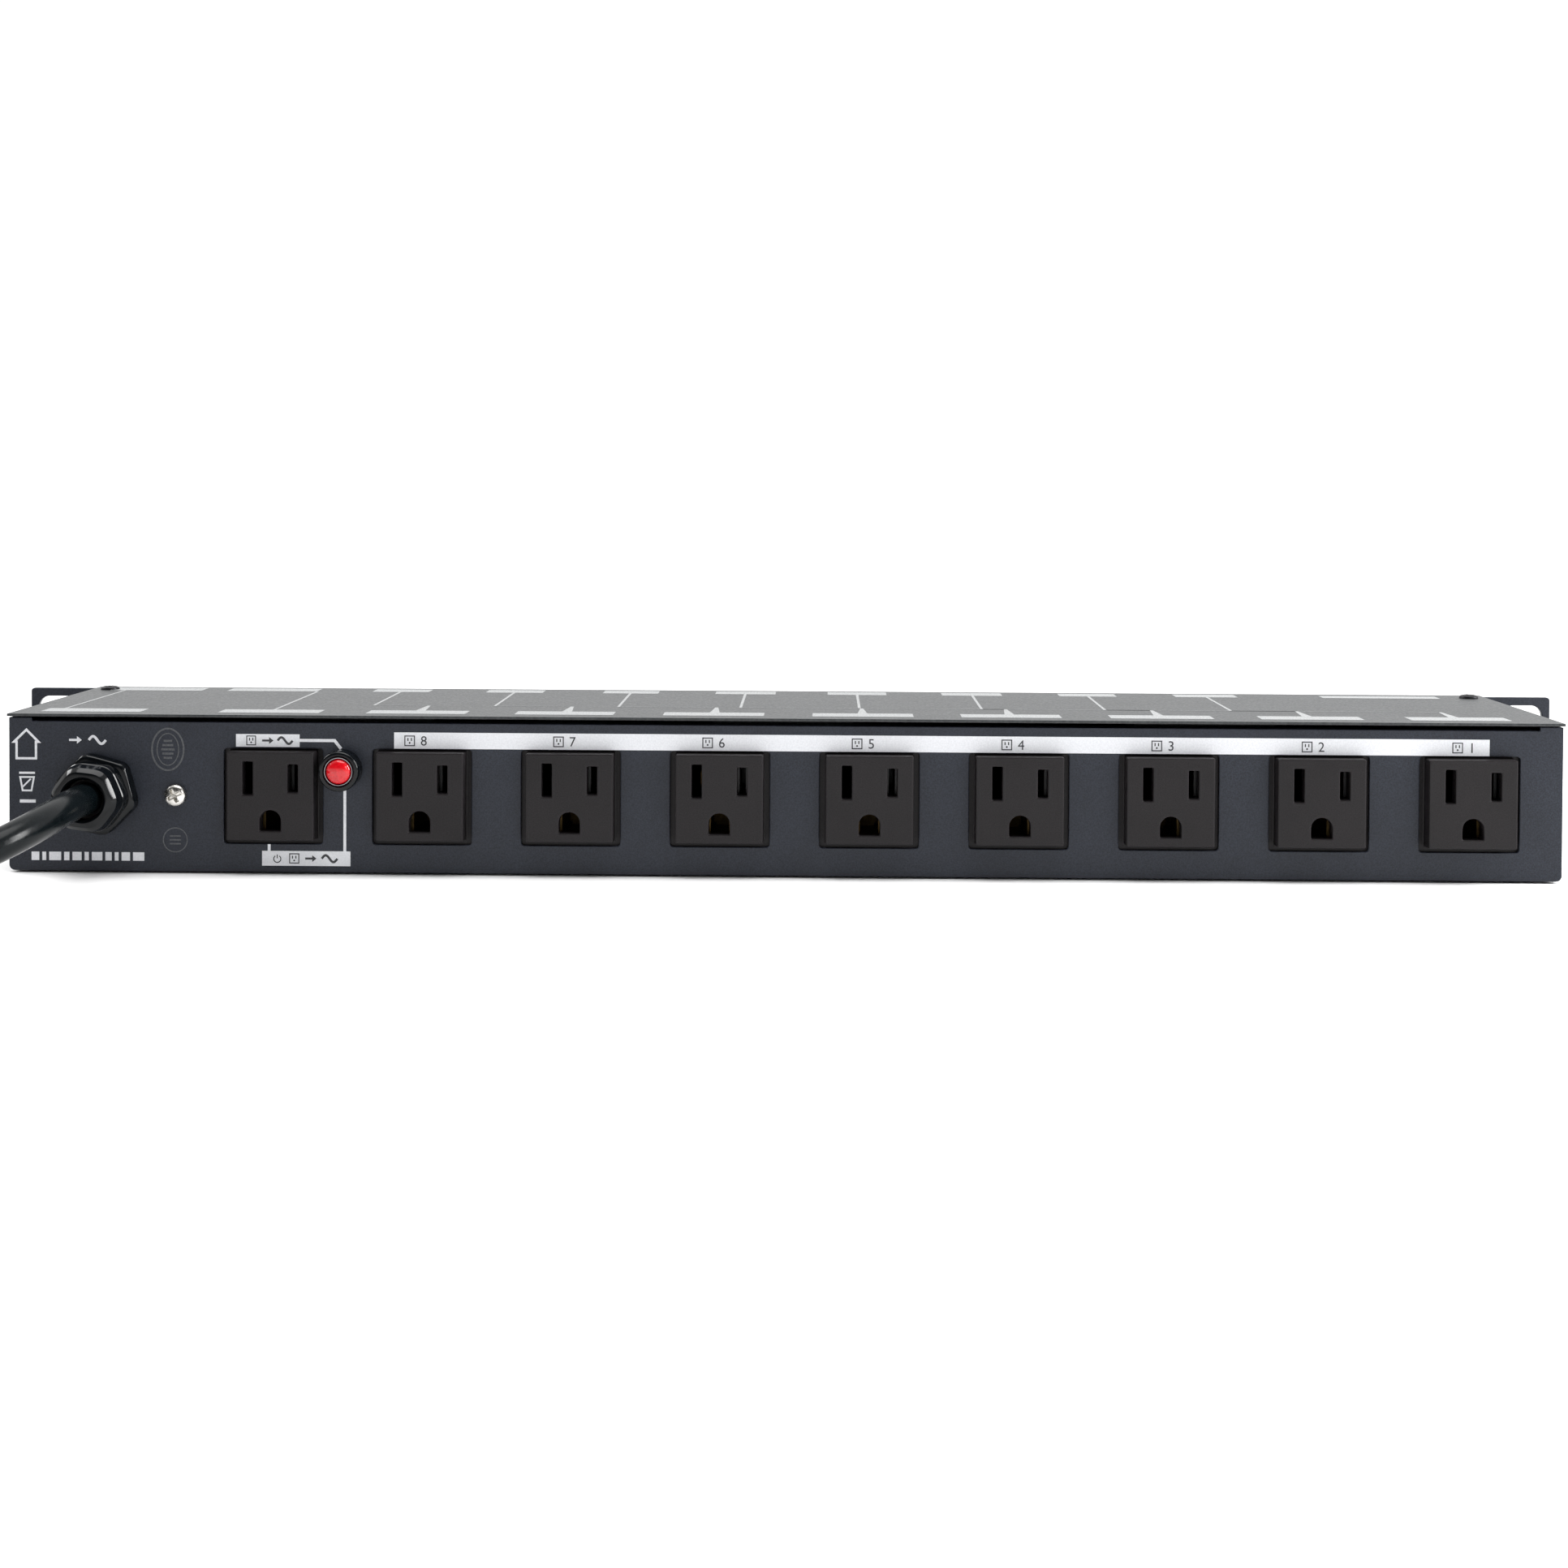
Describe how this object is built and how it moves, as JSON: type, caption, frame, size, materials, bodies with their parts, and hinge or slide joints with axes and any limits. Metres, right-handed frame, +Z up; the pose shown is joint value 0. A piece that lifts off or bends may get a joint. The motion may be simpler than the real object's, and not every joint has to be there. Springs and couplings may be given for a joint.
{
  "type": "rack power strip",
  "caption": "One-unit rack power strip with grounded outlets along its rear, rocker switches on its front, slotted rack ears, a breaker button and a gland-held mains lead.",
  "frame": {"origin": "centre of the chassis's bottom face, midway between the rear panel's face and the back of the rack panel", "axes": "+X along the rack panel to the right as seen from the outlets, +Y from the outlets towards the rack panel, +Z up"},
  "size_m": [0.6252, 0.1946, 0.045],
  "materials": {
    "black_powder_coat": "fine-grained matt black powder coat",
    "outlet_plastic": "matt moulded thermoplastic",
    "gland_nylon": "glossy black nylon",
    "switch_plastic": "satin black moulded plastic",
    "rocker_plastic": "translucent red polycarbonate",
    "red_lens": "glossy red lens",
    "brass": "stamped brass",
    "nickel": "bright nickel plate",
    "black_screw": "black zinc plate",
    "wire_insulation": "extruded PVC",
    "cord_jacket": "smooth extruded PVC",
    "strap": "woven hook and loop strap"
  },
  "bodies": {
    "chassis": {"chassis_tray": "black_powder_coat", "top_cover": "black_powder_coat", "front_panel": "black_powder_coat", "outlet_always_on": "outlet_plastic", "outlet_ch8": "outlet_plastic", "outlet_ch7": "outlet_plastic", "outlet_ch6": "outlet_plastic", "outlet_ch5": "outlet_plastic", "outlet_ch4": "outlet_plastic", "outlet_ch3": "outlet_plastic", "outlet_ch2": "outlet_plastic", "outlet_ch1": "outlet_plastic", "neutral_bus": "brass", "ground_bus": "brass", "line_wire_always_on": "wire_insulation", "line_wire_ch8": "wire_insulation", "line_wire_ch7": "wire_insulation", "line_wire_ch6": "wire_insulation", "line_wire_ch5": "wire_insulation", "line_wire_ch4": "wire_insulation", "line_wire_ch3": "wire_insulation", "line_wire_ch2": "wire_insulation", "line_wire_ch1": "wire_insulation", "switch_body_master": "switch_plastic", "switch_body_ch8": "switch_plastic", "switch_body_ch7": "switch_plastic", "switch_body_ch6": "switch_plastic", "switch_body_ch5": "switch_plastic", "switch_body_ch4": "switch_plastic", "switch_body_ch3": "switch_plastic", "switch_body_ch2": "switch_plastic", "switch_body_ch1": "switch_plastic", "breaker_body": "switch_plastic", "breaker_nut": "nickel", "lamp_bezel": "gland_nylon", "lamp_lens": "red_lens", "gland_body": "gland_nylon", "gland_dome_nut": "gland_nylon", "gland_locknut": "gland_nylon", "earth_screw": "nickel", "cover_screw_left": "black_screw", "cover_screw_right": "black_screw", "power_cord": "cord_jacket", "cord_coil": "cord_jacket", "cord_tail": "cord_jacket", "cord_tie": "strap", "plug_body": "cord_jacket", "plug_line_blade": "nickel", "plug_neutral_blade": "nickel", "plug_ground_pin": "nickel"},
    "rocker_master": {"rocker_master": "rocker_plastic"},
    "rocker_ch8": {"rocker_ch8": "rocker_plastic"},
    "rocker_ch7": {"rocker_ch7": "rocker_plastic"},
    "rocker_ch6": {"rocker_ch6": "rocker_plastic"},
    "rocker_ch5": {"rocker_ch5": "rocker_plastic"},
    "rocker_ch4": {"rocker_ch4": "rocker_plastic"},
    "rocker_ch3": {"rocker_ch3": "rocker_plastic"},
    "rocker_ch2": {"rocker_ch2": "rocker_plastic"},
    "rocker_ch1": {"rocker_ch1": "rocker_plastic"},
    "breaker_button": {"breaker_button": "switch_plastic"}
  },
  "joints": [
    {"name": "rocker_master_tilt", "type": "hinge", "parent": "chassis", "child": "rocker_master", "pos_m": [-0.163, 0.0467, 0.0219], "axis": [1, 0, 0], "range_deg": [0, 24]},
    {"name": "rocker_ch8_tilt", "type": "hinge", "parent": "chassis", "child": "rocker_ch8", "pos_m": [-0.122, 0.0467, 0.0219], "axis": [1, 0, 0], "range_deg": [0, 24]},
    {"name": "rocker_ch7_tilt", "type": "hinge", "parent": "chassis", "child": "rocker_ch7", "pos_m": [-0.0857, 0.0467, 0.0219], "axis": [1, 0, 0], "range_deg": [0, 24]},
    {"name": "rocker_ch6_tilt", "type": "hinge", "parent": "chassis", "child": "rocker_ch6", "pos_m": [-0.0494, 0.0467, 0.0219], "axis": [1, 0, 0], "range_deg": [0, 24]},
    {"name": "rocker_ch5_tilt", "type": "hinge", "parent": "chassis", "child": "rocker_ch5", "pos_m": [-0.0131, 0.0467, 0.0219], "axis": [1, 0, 0], "range_deg": [0, 24]},
    {"name": "rocker_ch4_tilt", "type": "hinge", "parent": "chassis", "child": "rocker_ch4", "pos_m": [0.0232, 0.0467, 0.0219], "axis": [1, 0, 0], "range_deg": [0, 24]},
    {"name": "rocker_ch3_tilt", "type": "hinge", "parent": "chassis", "child": "rocker_ch3", "pos_m": [0.0595, 0.0467, 0.0219], "axis": [1, 0, 0], "range_deg": [0, 24]},
    {"name": "rocker_ch2_tilt", "type": "hinge", "parent": "chassis", "child": "rocker_ch2", "pos_m": [0.0958, 0.0467, 0.0219], "axis": [1, 0, 0], "range_deg": [0, 24]},
    {"name": "rocker_ch1_tilt", "type": "hinge", "parent": "chassis", "child": "rocker_ch1", "pos_m": [0.1321, 0.0467, 0.0219], "axis": [1, 0, 0], "range_deg": [0, 24]},
    {"name": "breaker_button_slide", "type": "slide", "parent": "chassis", "child": "breaker_button", "axis": [0, 1, 0], "range_m": [0, 0.003]}
  ]
}
